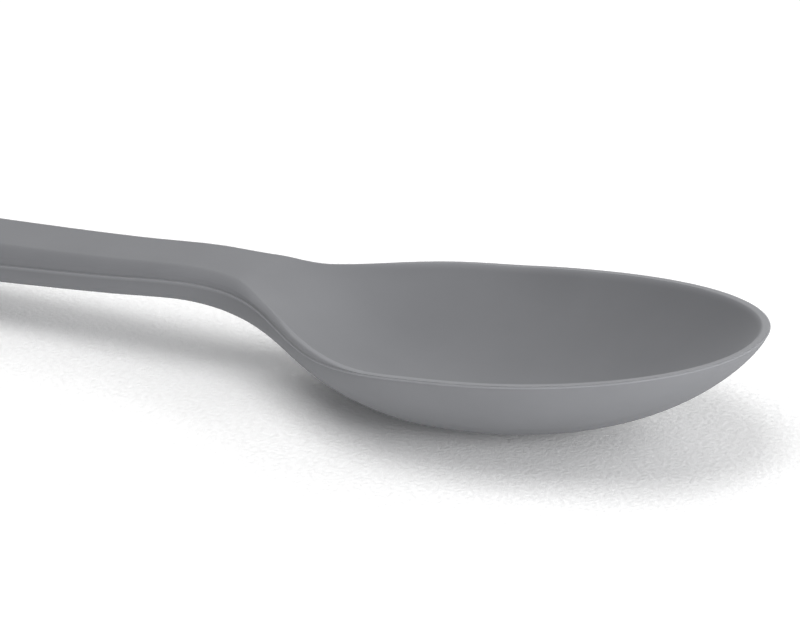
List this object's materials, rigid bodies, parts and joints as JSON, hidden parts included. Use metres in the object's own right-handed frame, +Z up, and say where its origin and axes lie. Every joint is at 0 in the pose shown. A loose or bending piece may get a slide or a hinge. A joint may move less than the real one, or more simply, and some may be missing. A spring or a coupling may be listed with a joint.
{
  "type": "silicone spoon",
  "caption": "Cooking spoon with a deep oval bowl and a flat rounded handle, silicone rubber moulded over a stiff core, with a hole to hang it by.",
  "frame": {"origin": "middle of the spoon's length and width, on the table that it lies on", "axes": "+X from the handle's end towards the tip of the bowl, +Y across the spoon, +Z up out of the open bowl"},
  "size_m": [0.285, 0.066, 0.0234],
  "materials": {
    "silicone": "matt moulded silicone rubber, dark grey",
    "nylon": "moulded glass-filled nylon, near black"
  },
  "bodies": {
    "root": {"core": "nylon", "upper_skin": "silicone", "lower_skin": "silicone"}
  },
  "joints": []
}
